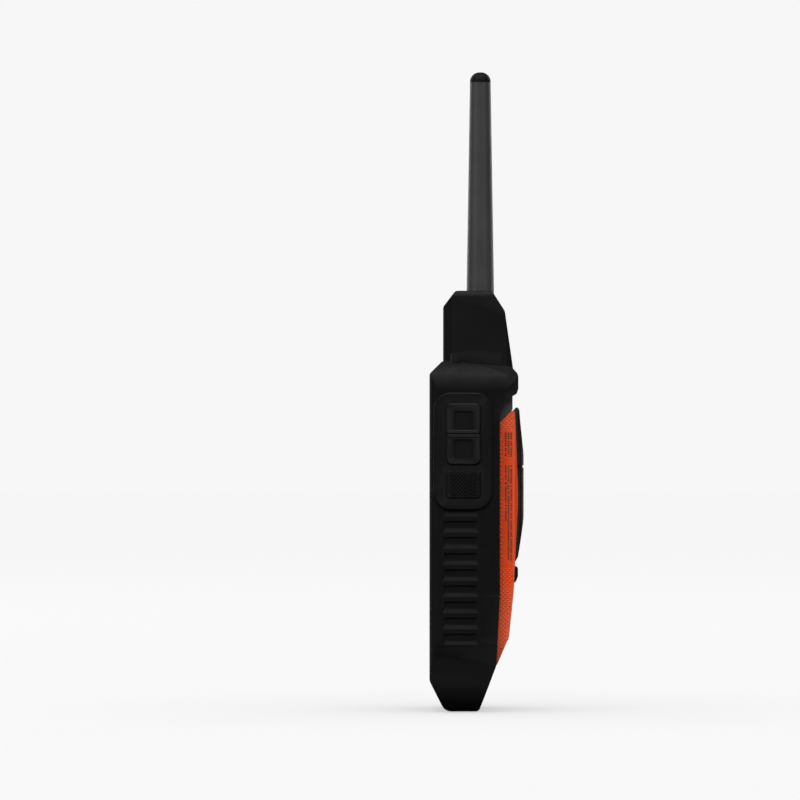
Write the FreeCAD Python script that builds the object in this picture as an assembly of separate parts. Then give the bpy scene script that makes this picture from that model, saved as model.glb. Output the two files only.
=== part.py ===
import FreeCAD, Part
import math
import os

# A rugged handheld two way radio, standing upright. Millimetres, +Z up.
# The front faces -Y, the battery pack is at the back (+Y), the push-to-talk
# side is +X. The origin is the middle of the footprint, at the lowest point.

V = FreeCAD.Vector

# ---- driving dimensions ------------------------------------------------------
half_width = 31.4        # side face of the jacket, from the middle plane
front_face = -19.4       # outermost front plane of the jacket
back_edge = 9.5          # rear edge of the jacket's side walls
shoulder_top = 144.5     # top of the body at its front
jacket_wall = 2.3
shoulder_radius = 12.0   # side shoulder, seen from the front
brow_shoulder = 2.5      # the same at the brow

# foot and brow of the side outline
foot_front = -13.0
foot_back = 0.8
heel_back = 8.1
heel_top = 19.5
chin_top = 13.2
toe_inset = 13.0         # how far the footprint ends inside the side faces
brow_drop = 23.5         # from the shoulder down to where the brow starts
brow_back = 17.1

# clearances
skin_gap = 0.1           # jacket to housing, same body
run_gap = 0.3            # between bodies that move past each other
pin_gap = 0.06           # running fit of a pin, on the radius
seat_gap = 0.05          # pieces that seat in one another, same body

# housing
housing_wall = 1.8
housing_back = 15.5      # rear plane of the grey head
split_plane = -3.0       # joint between front and rear housing
gasket_thick = 0.6
bay_floor = 0.5          # rear face of the plate behind the board

# front window of the jacket, and what shows in it
window_half = 25.0
window_low = 16.0
window_margin = 11.5     # window's upper edge below the shoulder
window_flare = 0.8
window_radius = 8.0
lip_depth = 1.2          # bezel face behind the jacket's front plane
lens_width = 47.0
lens_height = 77.0
lens_middle = 91.0
lens_thick = 1.8
chassis_half = 25.0
chassis_thick = 2.2
key_row = 41.0           # height of the front keys
key_pitch = 16.0
key_width = 12.5
key_height = 8.0
key_travel = 0.5
grille_width = 26.0
grille_height = 9.0
grille_middle = 25.5

# side controls, on the +X side
island_front = -17.8
island_back = 6.4
island_low = 83.2
island_high = 131.4
island_rise = 0.8
pad_front = -12.4
pad_back = 1.5
volume_low = 101.9
volume_high = 127.0
volume_rise = 0.9        # volume pads, above the island
volume_travel = 0.8
ptt_low = 88.1
ptt_high = 99.6
ptt_rise = 0.7
ptt_travel = 0.9
pad_thick = 2.0
pad_gap = 0.2            # round each pad
rib_height = 1.4         # rib along the split of the volume pads
rib_rise = 0.3
knurl_pitch = 1.45       # across
knurl_rise = 0.83        # from row to row
knurl_depth = 0.35

# grip grooves on both sides
groove_count = 9
groove_pitch = 6.6
groove_height = 4.8
groove_depth = 0.6
groove_low_slope = 1.7   # length of the ramp below
groove_top_slope = 0.6
groove_end_slope = 1.5
groove_front = -14.0
groove_back = 1.0
groove_top = 85.4        # top of the first groove, +X side
groove_drop = 0.8        # the -X side sits lower by this

# flap over the data socket, on the -X side
flap_middle = -7.4
flap_width = 6.2
flap_low = 82.7
flap_high = 95.6
flap_thick = 1.5
flap_hinge_radius = 0.75

# cover over the headset jack, on the shoulder
cover_left = 4.0
cover_right = 24.0
cover_front = -10.7
cover_back = 11.7
cover_height = 4.0       # crown above the shoulder's front
cover_gap = 0.15
cover_hinge_radius = 1.6
jack_x = 14.0
jack_y = -2.0
jack_radius = 1.75
jack_body_radius = 4.0
jack_length = 13.0

# antenna and its shroud
shroud_left = -26.0
shroud_right = -4.0
shroud_height = 29.3     # above the shoulder
antenna_length = 91.2    # above the shroud
antenna_x = -15.0
antenna_y = 1.5
antenna_root_radius = 5.7
antenna_tip_radius = 4.25
antenna_boot_radius = 8.0
boot_height = 5.5        # underside of the boot, above the shoulder
cap_height = 4.2
core_radius = 1.6

# battery pack
pack_front = 0.8
pack_back = 16.9
pack_middle = 88.0       # height where it is deepest
pack_low = 19.5
pack_slant_drop = 2.0    # foot of the slanted top edge, below the brow's start
pack_slant_rise = 4.4    # its head, above the brow's start
pack_wall = 1.6
tray_back = 6.5          # joint between tray and orange shell
label_low = 60.5
label_high = 115.4
cell_count = 2
cell_thick = 8.0
cell_gap = 0.8

# clip spine and latch on the back of the pack
spine_half = 9.0
spine_low = 61.6
spine_above = 0.1        # top of the spine above the slanted edge
spine_back = 19.4
spine_seat = 0.5         # depth of the shell's pocket for the spine
rail_rise = 1.2          # the rail stands this far out of the shell
cap_inset = 0.5          # the spine is this much narrower than its rail
latch_height = 50.5
latch_radius = 9.8
latch_floor = 11.3       # floor of the round pocket
latch_flange = 1.3
knuckle_back = 17.1
knuckle_half = 4.0
bail_wire = 0.75         # half thickness of the D-ring
bail_hinge_drop = 3.4    # hinge line below the top of the flange
shaft_radius = 2.0
cam_radius = 4.0

# fasteners
screw_radius = 1.0
screw_head_radius = 1.9
screw_head_thick = 1.2

# heights that follow from those
shroud_top = shoulder_top + shroud_height
overall_height = shroud_top + antenna_length
antenna_boot_low = shoulder_top + boot_height
brow_root = shoulder_top - brow_drop
pack_slant_low = brow_root - pack_slant_drop
pack_slant_high = brow_root + pack_slant_rise
spine_high = pack_slant_high + spine_above
cover_crown = shoulder_top + cover_height


# ---- small geometry helpers ---------------------------------------------------
def rounded_wire(corners, place):
    """Closed wire through (u, v, radius) corners; place puts a flat point in space."""
    spots = [V(u, v, 0) for u, v, _ in corners]
    joins = []
    for i, (_, _, radius) in enumerate(corners):
        here = spots[i]
        back = (spots[i - 1] - here).normalize()
        ahead = (spots[(i + 1) % len(spots)] - here).normalize()
        if radius <= 0:
            joins.append((here, None, here))
            continue
        half = back.getAngle(ahead) / 2
        reach = radius / math.tan(half)
        centre = here + (back + ahead).normalize() * (radius / math.sin(half))
        middle = centre + (here - centre).normalize() * radius
        joins.append((here + back * reach, middle, here + ahead * reach))
    edges = []
    for i, (start, middle, end) in enumerate(joins):
        if middle is not None:
            edges.append(Part.Arc(place(start), place(middle), place(end)).toShape())
        following = joins[(i + 1) % len(joins)][0]
        if (end - following).Length > 1e-6:
            edges.append(Part.LineSegment(place(end), place(following)).toShape())
    return Part.Wire(edges)


def inset(corners, depth):
    """Anticlockwise outline moved inwards by depth, its rounds kept concentric."""
    spots = [V(u, v, 0) for u, v, _ in corners]
    moved = []
    for i, (_, _, radius) in enumerate(corners):
        before = (spots[i] - spots[i - 1]).normalize()
        after = (spots[(i + 1) % len(spots)] - spots[i]).normalize()
        left_before = V(-before.y, before.x, 0)
        left_after = V(-after.y, after.x, 0)
        shift = (left_before + left_after) * (depth / (1 + left_before.dot(left_after)))
        spot = spots[i] + shift
        if radius > 0:
            outside = before.cross(after).z > 0
            radius = max(radius - depth, 0.3) if outside else max(radius + depth, 0.3)
        moved.append((spot.x, spot.y, radius))
    return moved


def prism(corners, axis, low, high):
    """Outline pushed along an axis. Outlines are (Y, Z), (X, Z) or (X, Y)."""
    places = {"x": lambda p: V(low, p.x, p.y),
              "y": lambda p: V(p.x, low, p.y),
              "z": lambda p: V(p.x, p.y, low)}
    ways = {"x": V(high - low, 0, 0), "y": V(0, high - low, 0), "z": V(0, 0, high - low)}
    return Part.Face(rounded_wire(corners, places[axis])).extrude(ways[axis])


def rectangle(u_low, u_high, v_low, v_high, radius=0):
    """Anticlockwise rectangle with rounded corners."""
    return [(u_low, v_low, radius), (u_high, v_low, radius),
            (u_high, v_high, radius), (u_low, v_high, radius)]


def block(x, y, z):
    """Plain box from three (low, high) pairs."""
    return Part.makeBox(x[1] - x[0], y[1] - y[0], z[1] - z[0], V(x[0], y[0], z[0]))


def rod(axis, centre, radius, low, high):
    """Cylinder along an axis; centre gives the other two coordinates."""
    starts = {"x": V(low, *centre), "y": V(centre[0], low, centre[1]), "z": V(*centre, low)}
    ways = {"x": V(1, 0, 0), "y": V(0, 1, 0), "z": V(0, 0, 1)}
    return Part.makeCylinder(radius, high - low, starts[axis], ways[axis])


def tube(axis, centre, outer, inner, low, high):
    """Round pipe along an axis."""
    return rod(axis, centre, outer, low, high).cut(rod(axis, centre, inner, low - 1, high + 1))


def whole(shape):
    """The single solid of a shape, with split faces joined."""
    shape = shape.removeSplitter()
    return shape.Solids[0] if len(shape.Solids) == 1 else shape


def save(node, shape):
    """Write one node's STEP file."""
    whole(shape).exportStep("parts/" + node + ".step")


# ---- outlines of the body ------------------------------------------------------
def jacket_side():
    """Side outline (Y, Z) of the jacket, anticlockwise from the foot's front."""
    return [(foot_front, 0, 4.5), (foot_back, 0, 2), (heel_back, heel_top, 6),
            (back_edge, heel_top + 28.5, 30), (back_edge, brow_root + 2.2, 6),
            (brow_back - 5.1, brow_root + 7.3, 4), (brow_back - 0.7, brow_root + 9.9, 0.8),
            (brow_back, brow_root + 12.0, 1.2), (brow_back, shoulder_top - 5.6, 3.5),
            (brow_back - 3.0, shoulder_back(), 2.5), (front_face + 5.4, shoulder_top, 2.2),
            (front_face, shoulder_top - 5.4, 2.5),
            (front_face, chin_top, 4)]


def shoulder_back():
    """Z of the sloping shoulder at its rear end."""
    return shoulder_top - 2.4


def shoulder_at(y):
    """Z of the shoulder's top line at a depth."""
    front = front_face + 5.4
    return shoulder_top + (shoulder_back() - shoulder_top) * (y - front) / (brow_back - 3.0 - front)


def core_side():
    """Side outline (Y, Z) of the space that the jacket wraps, before its wall."""
    ledge = pack_low - run_gap - jacket_wall
    ledge_back = foot_back + (heel_back - foot_back) * ledge / heel_top
    back = housing_back + skin_gap + jacket_wall
    return [(foot_front, 0, 4.5), (foot_back, 0, 2), (ledge_back, ledge, 0), (back, ledge, 0),
            (back, shoulder_top - 4.6, 2.4), (back - 2.2, shoulder_top - 2.4, 2.4),
            (front_face + 5.4, shoulder_top, 2.2), (front_face, shoulder_top - 5.4, 2.5),
            (front_face, chin_top, 4)]


def body_front(shoulder):
    """Front outline (X, Z) of the body with the given shoulder radius."""
    low = half_width - toe_inset
    mid = half_width - toe_inset * 0.26
    return [(-low, 0, 7), (low, 0, 7), (mid, 7, 14), (half_width, 28, 24),
            (half_width, shoulder_top, shoulder), (-half_width, shoulder_top, shoulder),
            (-half_width, 28, 24), (-mid, 7, 14)]


def body_plan():
    """Plan outline (X, Y) that rounds the upright edges of the body."""
    return [(-half_width, front_face, 3.6), (half_width, front_face, 3.6),
            (half_width, brow_back, 1.8), (-half_width, brow_back, 1.8)]


def brow_facet(side, depth):
    """Cutter beyond the plane that slopes from the round shoulder to the full-width brow."""
    high = V(half_width - 5.2, 1.8, shoulder_top - 2.1)
    low = V(half_width, 8.4, shoulder_top - 14.1)
    rear = V(half_width - 1.5, 16.0, shoulder_top - 3.5)
    normal = (low - high).cross(rear - high).normalize()
    cutter = Part.makeBox(60, 200, 200, V(-depth, -100, -100))
    cutter.Placement = FreeCAD.Placement(high, FreeCAD.Rotation(V(1, 0, 0), normal)).multiply(
        cutter.Placement)
    return cutter if side > 0 else cutter.mirror(V(0, 0, 0), V(1, 0, 0))


def body_form(side, depth):
    """Solid bounded by a side outline and the body's front and plan, all set in by depth."""
    reach = half_width + 5
    flank = prism(inset(side, depth), "x", -reach, reach)
    face = prism(inset(body_front(shoulder_radius), depth), "y", front_face - 5, brow_back + 5)
    plan = prism(inset(body_plan(), depth), "z", -5, shoulder_top + 5)
    lower = flank.common(face).common(plan)
    head_face = prism(inset(body_front(brow_shoulder), depth), "y", front_face - 5, brow_back + 5)
    head = block((-half_width, half_width), (front_face, brow_back), (brow_root, shoulder_top + 5))
    upper = flank.common(head_face).common(plan).common(head)
    for side in (-1, 1):
        upper = upper.cut(brow_facet(side, depth))
    return whole(lower.fuse(upper))


def shroud_form(depth, low):
    """Antenna shroud on the shoulder, set in by depth, from a height up."""
    side = [(-14.0, low, 0), (15.1, low, 0), (15.1, shoulder_top - 2.9, 2), (11.7, shroud_top - 8.5, 3),
            (6.3, shroud_top, 2), (-8.8, shroud_top, 2), (-14.0, shroud_top - 6.8, 2)]
    flank = prism(inset(side, depth), "x", shroud_left - 2, shroud_right + 2)
    plan = [(shroud_left, -14.0, 3.6), (shroud_right, -14.0, 3.6),
            (shroud_right, 15.1, 3.0), (shroud_left, 15.1, 3.0)]
    crown = rectangle(shroud_left, shroud_right, low - 5, shroud_top, 2.5)
    return (flank.common(prism(inset(plan, depth), "z", low, shroud_top))
            .common(prism(inset(crown, depth), "y", -20, 20)))


def pack_side():
    """Side outline (Y, Z) of the battery pack, anticlockwise from its front foot."""
    return [(pack_front, pack_low, 0.6), (heel_back + 0.2, pack_low, 0.8), (13.0, pack_low + 11.1, 8),
            (15.0, pack_low + 30.5, 60), (pack_back, pack_middle, 150), (pack_back - 1.4, pack_slant_high, 1),
            (back_edge + 0.1, pack_slant_low, 3), (pack_front, pack_slant_low, 0.6)]


def pack_form(depth):
    """The battery pack's envelope, set in by depth; negative grows it."""
    flank = prism(inset(pack_side(), depth), "x", -half_width, half_width)
    margin = jacket_wall + run_gap + depth
    face = prism(inset(body_front(shoulder_radius), margin), "y", -5, brow_back + 5)
    side = half_width - margin
    plan = prism([(-side, pack_front + depth, 0.8), (side, pack_front + depth, 0.8),
                  (side, pack_back - depth, 3.0), (-side, pack_back - depth, 3.0)], "z", 0, shoulder_top)
    return flank.common(face).common(plan)


def pack_bay():
    """Space that the pack needs, open to the back."""
    bay_side = [(bay_floor, pack_low - run_gap), (brow_back + 8, pack_low - run_gap),
                (brow_back + 8, pack_slant_high + run_gap + (brow_back + 8 - pack_back) * 1.1),
                (back_edge + 0.1, pack_slant_low + run_gap * 1.5),
                (bay_floor, pack_slant_low + run_gap * 1.5)]
    return prism([(u, v, 0) for u, v in bay_side], "x", -half_width, half_width)


# ---- jacket ----------------------------------------------------------------------
def pad_outline(low, high, radii, grow=0):
    """Outline (Y, Z) of a side pad; radii are for its lower and upper corners."""
    lower, upper = radii
    return [(pad_front - grow, low - grow, lower + grow), (pad_back + grow, low - grow, lower + grow),
            (pad_back + grow, high + grow, upper + grow), (pad_front - grow, high + grow, upper + grow)]


def groove(side, top):
    """One grip groove as a cutter that slopes inwards on all four sides."""
    outside = 0.4
    wires = []
    for depth in (-outside, groove_depth):
        share = depth / groove_depth
        x = side * (half_width - depth)
        outline = rectangle(groove_front + groove_end_slope * share, groove_back - groove_end_slope * share,
                            top - groove_height + groove_low_slope * share,
                            top - groove_top_slope * share, 0.9)
        wires.append(rounded_wire(outline, lambda p, x=x: V(x, p.x, p.y)))
    return Part.makeLoft(wires, True, True)


def grip_grooves():
    """Cutters for the grooves of both sides."""
    cutters = []
    for i in range(groove_count):
        cutters.append(groove(1, groove_top - i * groove_pitch))
        cutters.append(groove(-1, groove_top - groove_drop - i * groove_pitch))
    return cutters


def control_island():
    """Raised island round the side pads, with a soft rim."""
    base = half_width - 1.5
    outline = rectangle(island_front, island_back, island_low, island_high, 7.0)
    plate = prism(outline, "x", base, half_width + island_rise)
    rim = [e for e in plate.Edges if abs(e.BoundBox.XMin - half_width - island_rise) < 1e-4
           and abs(e.BoundBox.XMax - half_width - island_rise) < 1e-4]
    return plate.makeFillet(island_rise * 0.9, rim)


def volume_split():
    """Height at which the two volume pads part."""
    return (volume_low + volume_high) / 2


def pad_ranges():
    """Low and high of each side pad, and the radii of its lower and upper corners."""
    middle = volume_split()
    return {"ptt": (ptt_low, ptt_high, (1.6, 1.6)),
            "volume_up": (middle + pad_gap / 2, volume_high, (0.6, 2.2)),
            "volume_down": (volume_low, middle - pad_gap / 2, (2.2, 0.6))}


def window_cutter():
    """Front window of the jacket, flared at its outer edge."""
    outline = rectangle(-window_half, window_half, window_low, window_high(), window_radius)
    straight = prism(outline, "y", front_face - 2, front_face + jacket_wall + 2)
    wires = []
    for y, grow in ((front_face - 0.3, window_flare + 0.3), (front_face + window_flare, 0.0)):
        wider = inset(outline, -grow)
        wires.append(rounded_wire(wider, lambda p, y=y: V(p.x, y, p.y)))
    return straight.fuse(Part.makeLoft(wires, True, True))


def window_high():
    """Z of the window's upper edge."""
    return shoulder_top - window_margin


def flap_outline(grow):
    """Outline (Y, Z) of the data socket's flap."""
    return rectangle(flap_middle - flap_width / 2 - grow, flap_middle + flap_width / 2 + grow,
                     flap_low - grow, flap_high + grow, 1.2 + grow)


def boot_ceiling():
    """Z of the shoulder inside the shroud that holds the antenna's boot down."""
    return shroud_top - 8.5


def rubber_jacket():
    """Ribbed rubber jacket, open at the back and with a front window."""
    shape = body_form(jacket_side(), 0).fuse(control_island())
    shape = shape.fuse(shroud_form(0, shoulder_top - 8))
    shape = shape.cut(body_form(core_side(), jacket_wall))
    bay = block((-half_width + jacket_wall, half_width - jacket_wall), (bay_floor, brow_back + 8),
                (pack_low - run_gap, brow_root + 6))
    face = prism(inset(body_front(shoulder_radius), jacket_wall), "y", -5, brow_back + 8)
    shape = shape.cut(bay.common(face))
    shape = shape.cut(window_cutter())
    for cutter in grip_grooves():
        shape = shape.cut(cutter)
    for low, high, radii in pad_ranges().values():
        hole = prism(pad_outline(low, high, radii, pad_gap), "x", half_width - 4, half_width + 4)
        shape = shape.cut(hole)
    recess = prism(flap_outline(run_gap), "x", -half_width - 2, -half_width + flap_thick)
    slot = prism(flap_outline(-1.2), "x", -half_width - 2, -half_width + 5)
    shape = shape.cut(recess).cut(slot)
    centre = (antenna_x, antenna_y)
    shape = shape.cut(rod("z", centre, antenna_boot_radius + seat_gap, shoulder_top - 10,
                          boot_ceiling()))
    shape = shape.cut(rod("z", centre, antenna_root_radius + seat_gap, shoulder_top, shroud_top + 1))
    jack_hole = rod("z", (jack_x, jack_y), jack_body_radius + seat_gap, shoulder_top - 10,
                    shoulder_top + 5)
    return shape.cut(jack_hole)


# ---- side controls ------------------------------------------------------------------
def outer_rim(shape, x):
    """Edges of a shape that lie in the plane at x."""
    return [e for e in shape.Edges
            if abs(e.BoundBox.XMin - x) < 1e-4 and abs(e.BoundBox.XMax - x) < 1e-4]


def pad_blank(low, high, radii, rise, sunk=0):
    """Plain side pad with softened outer edges; sunk lowers only its outer face."""
    outer = half_width + island_rise + rise - sunk
    pad = prism(pad_outline(low, high, radii), "x", outer + sunk - pad_thick - 0.6, outer)
    return pad.makeChamfer(0.4, outer_rim(pad, outer))


def volume_pad(name):
    """Volume pad with its sunk finger rest and the rib beside the split."""
    low, high, radii = pad_ranges()[name]
    outer = half_width + island_rise + volume_rise
    pad = pad_blank(low, high, radii, volume_rise)
    margin = 3.2
    if name == "volume_up":
        rest = rectangle(pad_front + margin, pad_back - margin, low + 1.7, high - margin, 0.5)
        rib = (low, low + rib_height)
    else:
        rest = rectangle(pad_front + margin, pad_back - margin, low + margin - 0.4, high - 2.2, 0.5)
        rib = (high - rib_height, high)
    pad = pad.cut(prism(rest, "x", outer - 0.55, outer + 1))
    bar = block((outer - 0.5, outer + rib_rise), (pad_front + 0.6, pad_back - 0.6), rib)
    return pad.fuse(bar.makeChamfer(0.25, outer_rim(bar, outer + rib_rise)))


def ptt_pad():
    """Push-to-talk pad covered with a diamond knurl."""
    low, high, radii = pad_ranges()["ptt"]
    outer = half_width + island_rise + ptt_rise
    pad = pad_blank(low, high, radii, ptt_rise, knurl_depth)
    centre_y = (pad_front + pad_back) / 2
    centre_z = (low + high) / 2
    columns = int((pad_back - pad_front) / knurl_pitch) + 2
    rows = int((high - low) / knurl_rise) + 2
    studs = []
    for i in range(-rows, rows + 1):
        for j in range(-columns, columns + 1):
            y = centre_y + (j + (i % 2) / 2) * knurl_pitch
            z = centre_z + i * knurl_rise
            if pad_front + 1.3 < y < pad_back - 1.3 and low + 1.3 < z < high - 1.3:
                studs.append(knurl_stud(outer, y, z))
    return whole(pad.fuse(studs))


def knurl_stud(outer, y, z):
    """One diamond of the knurl, narrowing outwards."""
    wide = knurl_pitch / 2 - 0.08
    tall = knurl_rise - 0.08
    wires = []
    for x, share in ((outer - knurl_depth - 0.05, 1.0), (outer, 0.5)):
        spots = [V(x, y - wide * share, z), V(x, y, z - tall * share),
                 V(x, y + wide * share, z), V(x, y, z + tall * share)]
        wires.append(Part.makePolygon(spots + spots[:1]))
    return Part.makeLoft(wires, True, True)


def side_key(name, travel):
    """Plunger behind a pad: a plate in the jacket's hole and a stem through the housing."""
    low, high, _ = pad_ranges()[name]
    rise = ptt_rise if name == "ptt" else volume_rise
    back = half_width + island_rise + rise - pad_thick - 0.6
    middle = (low + high) / 2
    centre_y = (pad_front + pad_back) / 2
    inner = half_width - jacket_wall - skin_gap
    plate_low = inner + travel + run_gap
    plate = prism(rectangle(pad_front + 1, pad_back - 1, low + 1, high - 1, 1), "x",
                  min(plate_low, back - 0.2), back)
    stem = rod("x", (centre_y, middle), 1.5, switch_face() + travel + 0.05, back)
    return plate.fuse(stem)


def switch_face():
    """X of the side switches' plungers."""
    return half_width - jacket_wall - housing_wall - 2.4


def side_switch_board():
    """Upright board that carries the side switches."""
    face = switch_face() - 1.6
    return block((face - 0.8, face), (pad_front + 1, split_plane - gasket_thick - 0.2),
                 (ptt_low, volume_high - 3))


def side_switches():
    """Three push switches on the side board."""
    face = switch_face() - 1.6
    solids = []
    centre_y = (pad_front + pad_back) / 2
    for low, high, _ in pad_ranges().values():
        middle = (low + high) / 2
        case = block((face, face + 1.2), (centre_y - 2.2, split_plane - gasket_thick - 0.2),
                     (middle - 2.2, middle + 2.2))
        solids.append(case.fuse(rod("x", (centre_y, middle), 0.9, face + 1.2, switch_face())))
    return Part.makeCompound(solids)


def side_port_flap():
    """Rubber flap over the data socket, with a raised line and a pictogram."""
    outer = -half_width - 0.1
    inner = -half_width + flap_thick - run_gap
    low = flap_low + 2 * flap_hinge_radius
    front = flap_middle - flap_width / 2
    back = flap_middle + flap_width / 2
    plate = prism(rectangle(front, back, low - 0.3, flap_high, 1.2), "x", outer, inner)
    barrel = rod("y", (outer + flap_hinge_radius, flap_low + flap_hinge_radius), flap_hinge_radius,
                 front + 0.4, back - 0.4)
    neck = block((outer + 0.1, outer + 2 * flap_hinge_radius - 0.1), (front + 0.6, back - 0.6),
                 (flap_low + flap_hinge_radius, low + 1))
    shape = plate.fuse(barrel).fuse(neck)
    line = 0.5
    high = flap_high - 1.4
    top = block((outer - 0.35, outer + 0.2), (front + 0.9, back - 0.7), (high, high + line))
    edge = block((outer - 0.35, outer + 0.2), (front + 0.9, front + 0.9 + line), (low + 1.2, high + 0.4))
    shape = shape.fuse(top).fuse(edge)
    middle = (flap_low + flap_high) / 2 + 0.6
    mark = tube("x", (flap_middle + 0.3, middle + 1.0), 1.1, 0.65, outer - 0.3, outer + 0.2)
    stem = block((outer - 0.3, outer + 0.2), (flap_middle + 0.05, flap_middle + 0.55),
                 (middle - 2.4, middle + 0.2))
    return shape.fuse(mark).fuse(stem)


def usb_socket():
    """Data socket behind the flap, upright in the housing's side."""
    middle = (flap_low + flap_high) / 2
    outer = -half_width + jacket_wall + skin_gap
    shell = prism(rectangle(flap_middle - 1.7, flap_middle + 1.7, middle - 4.6, middle + 4.6, 1.6), "x",
                  outer, outer + 7.5)
    mouth = prism(rectangle(flap_middle - 1.3, flap_middle + 1.3, middle - 4.2, middle + 4.2, 1.25), "x",
                  outer - 1, outer + 6.5)
    tongue = block((outer + 0.8, outer + 6.6), (flap_middle - 0.35, flap_middle + 0.35),
                   (middle - 3.2, middle + 3.2))
    return shell.cut(mouth).fuse(tongue)


# ---- shoulder cover and headset jack ---------------------------------------------------
def cover_axis():
    """Hinge line (Y, Z) of the shoulder cover."""
    y = cover_back - cover_hinge_radius
    return y, shoulder_at(y) + cover_gap + cover_hinge_radius


def top_jack_cover():
    """Crowned rubber cover, hinged at its back edge."""
    axis_y, axis_z = cover_axis()
    end = cover_crown - 1.1
    rise = cover_crown - end
    half = (axis_y - cover_front) / 2
    middle = cover_front + half
    crown_radius = (half * half + rise * rise) / (2 * rise)
    side = [(cover_front, shoulder_at(cover_front) + cover_gap, 0),
            (axis_y, shoulder_at(axis_y) + cover_gap, 0),
            (axis_y, cover_crown, 0), (cover_front, cover_crown, 0)]
    block_form = prism(side, "x", cover_left, cover_right)
    crown = rod("x", (middle, cover_crown - crown_radius), crown_radius, cover_left - 1, cover_right + 1)
    plate = block_form.common(crown)
    plate = plate.common(prism(rectangle(cover_left, cover_right, cover_front, axis_y + 6, 3), "z",
                               shoulder_top - 5, cover_crown))
    barrel = rod("x", (axis_y, axis_z), cover_hinge_radius, cover_left + 1.0, cover_right - 1.0)
    heel = prism([(axis_y - 1, axis_z, 0), (cover_back, axis_z, 0), (cover_back, cover_crown - 2.0, 1.0),
                  (axis_y - 1, cover_crown - 1.3, 0)], "x", cover_left + 1.0, cover_right - 1.0)
    plug_top = shoulder_at(jack_y) + cover_gap
    plug = rod("z", (jack_x, jack_y), jack_body_radius - 0.6, plug_top - 0.85, plug_top + 0.6)
    return plate.fuse(barrel).fuse(heel).fuse(plug)


def headset_jack():
    """Headset jack: a barrel with a blind bore, opening upwards."""
    top = shoulder_top - 1.9
    shape = rod("z", (jack_x, jack_y), jack_body_radius, top - jack_length, top)
    return shape.cut(rod("z", (jack_x, jack_y), jack_radius, top - jack_length + 1.2, top + 1))


# ---- housings ---------------------------------------------------------------------------
def housing_form():
    """Outer form of both housings."""
    return body_form(core_side(), jacket_wall + skin_gap)


def housing_hollow():
    """Inside of the housings."""
    return body_form(core_side(), jacket_wall + skin_gap + housing_wall)


def half_space(y_low, y_high):
    """Slab between two Y planes, larger than the body."""
    return block((-half_width - 5, half_width + 5), (y_low, y_high), (-5, shoulder_top + 40))


def side_openings():
    """Holes in the housing's side walls for the stems, the socket and the switches."""
    centre_y = (pad_front + pad_back) / 2
    holes = []
    for low, high, _ in pad_ranges().values():
        holes.append(rod("x", (centre_y, (low + high) / 2), 1.5 + run_gap, half_width - 8, half_width))
    middle = (flap_low + flap_high) / 2
    holes.append(prism(rectangle(flap_middle - 1.75, flap_middle + 1.75, middle - 4.65, middle + 4.65, 1.62),
                       "x", -half_width - 1, -half_width + 12))
    holes.append(rod("z", (jack_x, jack_y), jack_body_radius + seat_gap, shoulder_top - 12,
                     shoulder_top + 2))
    holes.append(rod("z", (antenna_x, antenna_y), 4.0 + seat_gap, shoulder_top - 12, shoulder_top + 2))
    return holes


def lens_outline(grow):
    """Outline (X, Z) of the display lens."""
    return rectangle(-lens_width / 2 - grow, lens_width / 2 + grow, lens_middle - lens_height / 2 - grow,
                     lens_middle + lens_height / 2 + grow, 3.0 + grow)


def key_outline(index, grow):
    """Outline (X, Z) of a front key; the middle one is round."""
    x = (index - 1) * key_pitch
    if index == 1:
        side = key_height + 2
        return rectangle(x - side / 2 - grow, x + side / 2 + grow, key_row - side / 2 - grow,
                         key_row + side / 2 + grow, side / 2 + grow - 0.01)
    return rectangle(x - key_width / 2 - grow, x + key_width / 2 + grow, key_row - key_height / 2 - grow,
                     key_row + key_height / 2 + grow, 2.4 + grow)


def bezel_face():
    """Y of the bezel's front face."""
    return front_face + lip_depth


def front_housing():
    """Front half of the housing, with the bezel that fills the jacket's window."""
    shape = housing_form().cut(housing_hollow())
    shape = shape.common(half_space(front_face, split_plane - gasket_thick / 2))
    plate_back = front_face + jacket_wall + skin_gap + housing_wall
    bezel = prism(rectangle(-window_half + skin_gap, window_half - skin_gap, window_low + skin_gap,
                            window_high() - skin_gap, window_radius), "y", bezel_face(), plate_back)
    shape = shape.fuse(bezel)
    seat = prism(lens_outline(seat_gap), "y", front_face, bezel_face() + lens_thick)
    view = prism(lens_outline(-3.0), "y", front_face, plate_back + 1)
    shape = shape.cut(seat).cut(view)
    for index in range(3):
        shape = shape.cut(prism(key_outline(index, run_gap), "y", front_face, plate_back + 1))
    grille = prism(rectangle(-grille_width / 2, grille_width / 2, grille_middle - grille_height / 2,
                             grille_middle + grille_height / 2, 3), "y", front_face, plate_back + 1)
    shape = shape.cut(grille)
    shape = shape.cut(rod("y", (19.0, grille_middle + 8.5), 0.8, front_face, plate_back + 1))
    for hole in side_openings():
        shape = shape.cut(hole)
    for x, z in housing_screw_places():
        boss = rod("y", (x, z), 3.0, plate_back - 0.5, split_plane - gasket_thick / 2)
        shape = shape.fuse(boss.common(housing_form()))
    for x, z in housing_screw_places():
        shape = shape.cut(rod("y", (x, z), screw_radius, plate_back + 2, split_plane + 1))
    return shape


def housing_screw_places():
    """Centres (X, Z) of the screws that join the housings."""
    x = half_width - jacket_wall - housing_wall - 3.6
    return [(sign * x, z) for z in (30.0, 128.0) for sign in (-1, 1)]


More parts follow.
